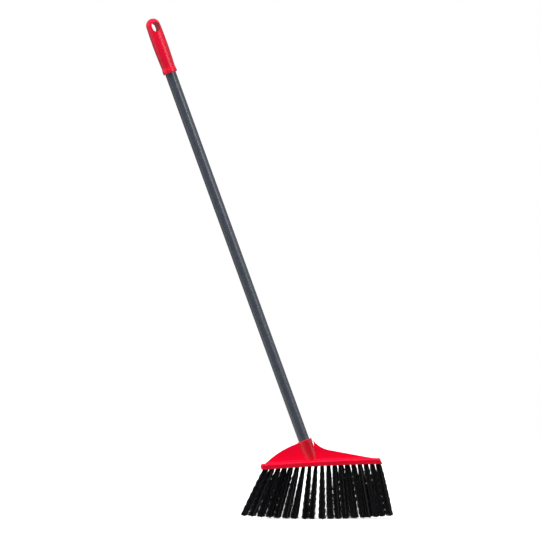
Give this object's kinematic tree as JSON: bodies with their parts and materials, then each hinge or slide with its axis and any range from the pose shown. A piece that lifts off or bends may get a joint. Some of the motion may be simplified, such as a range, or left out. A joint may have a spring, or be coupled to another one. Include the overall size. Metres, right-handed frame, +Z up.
{
  "type": "angle broom",
  "caption": "Angle broom with a winged moulded head, a fan of crimped bristle tufts and a leaning tubular handle that screws into a socket and ends in a grip with a hanging eye.",
  "frame": {"origin": "middle of the sweeping edge, on the floor", "axes": "+X along the sweeping edge to the right, +Y towards the broom's back, +Z up; the handle leans to -X"},
  "size_m": [0.5395, 0.0629, 1.091],
  "materials": {
    "head_plastic": "moulded polypropylene, satin gloss",
    "grip_plastic": "moulded polypropylene, satin gloss",
    "tube_coating": "slate grey powder coat on steel tube",
    "ferrule_plastic": "moulded black plastic",
    "bristle": "crimped black polypropylene filament",
    "anchor_wire": "plain flat wire"
  },
  "bodies": {
    "head": {"broom_head": "head_plastic", "tuft_anchors": "anchor_wire", "tuft_column_01": "bristle", "tuft_column_02": "bristle", "tuft_column_03": "bristle", "tuft_column_04": "bristle", "tuft_column_05": "bristle", "tuft_column_06": "bristle", "tuft_column_07": "bristle", "tuft_column_08": "bristle", "tuft_column_09": "bristle", "tuft_column_10": "bristle", "tuft_column_11": "bristle", "tuft_column_12": "bristle", "tuft_column_13": "bristle", "tuft_column_14": "bristle", "tuft_column_15": "bristle", "tuft_column_16": "bristle", "tuft_column_17": "bristle", "tuft_column_18": "bristle", "tuft_column_19": "bristle"},
    "ferrule": {"thread_ferrule": "ferrule_plastic"},
    "handle": {"handle_tube": "tube_coating", "hang_grip": "grip_plastic"}
  },
  "joints": [
    {"name": "thread_travel", "type": "slide", "parent": "head", "child": "ferrule", "axis": [-0.342, 0, 0.9397], "range_m": [0, 0.02032]},
    {"name": "handle_turn", "type": "hinge", "parent": "ferrule", "child": "handle", "pos_m": [-0.02814, 0, 0.17117], "axis": [-0.342, 0, 0.9397], "range_deg": [0, 1440]}
  ],
  "couplings": [
    {"joint": "handle_turn", "follows": "thread_travel", "rad_per_m": 1236.8}
  ]
}
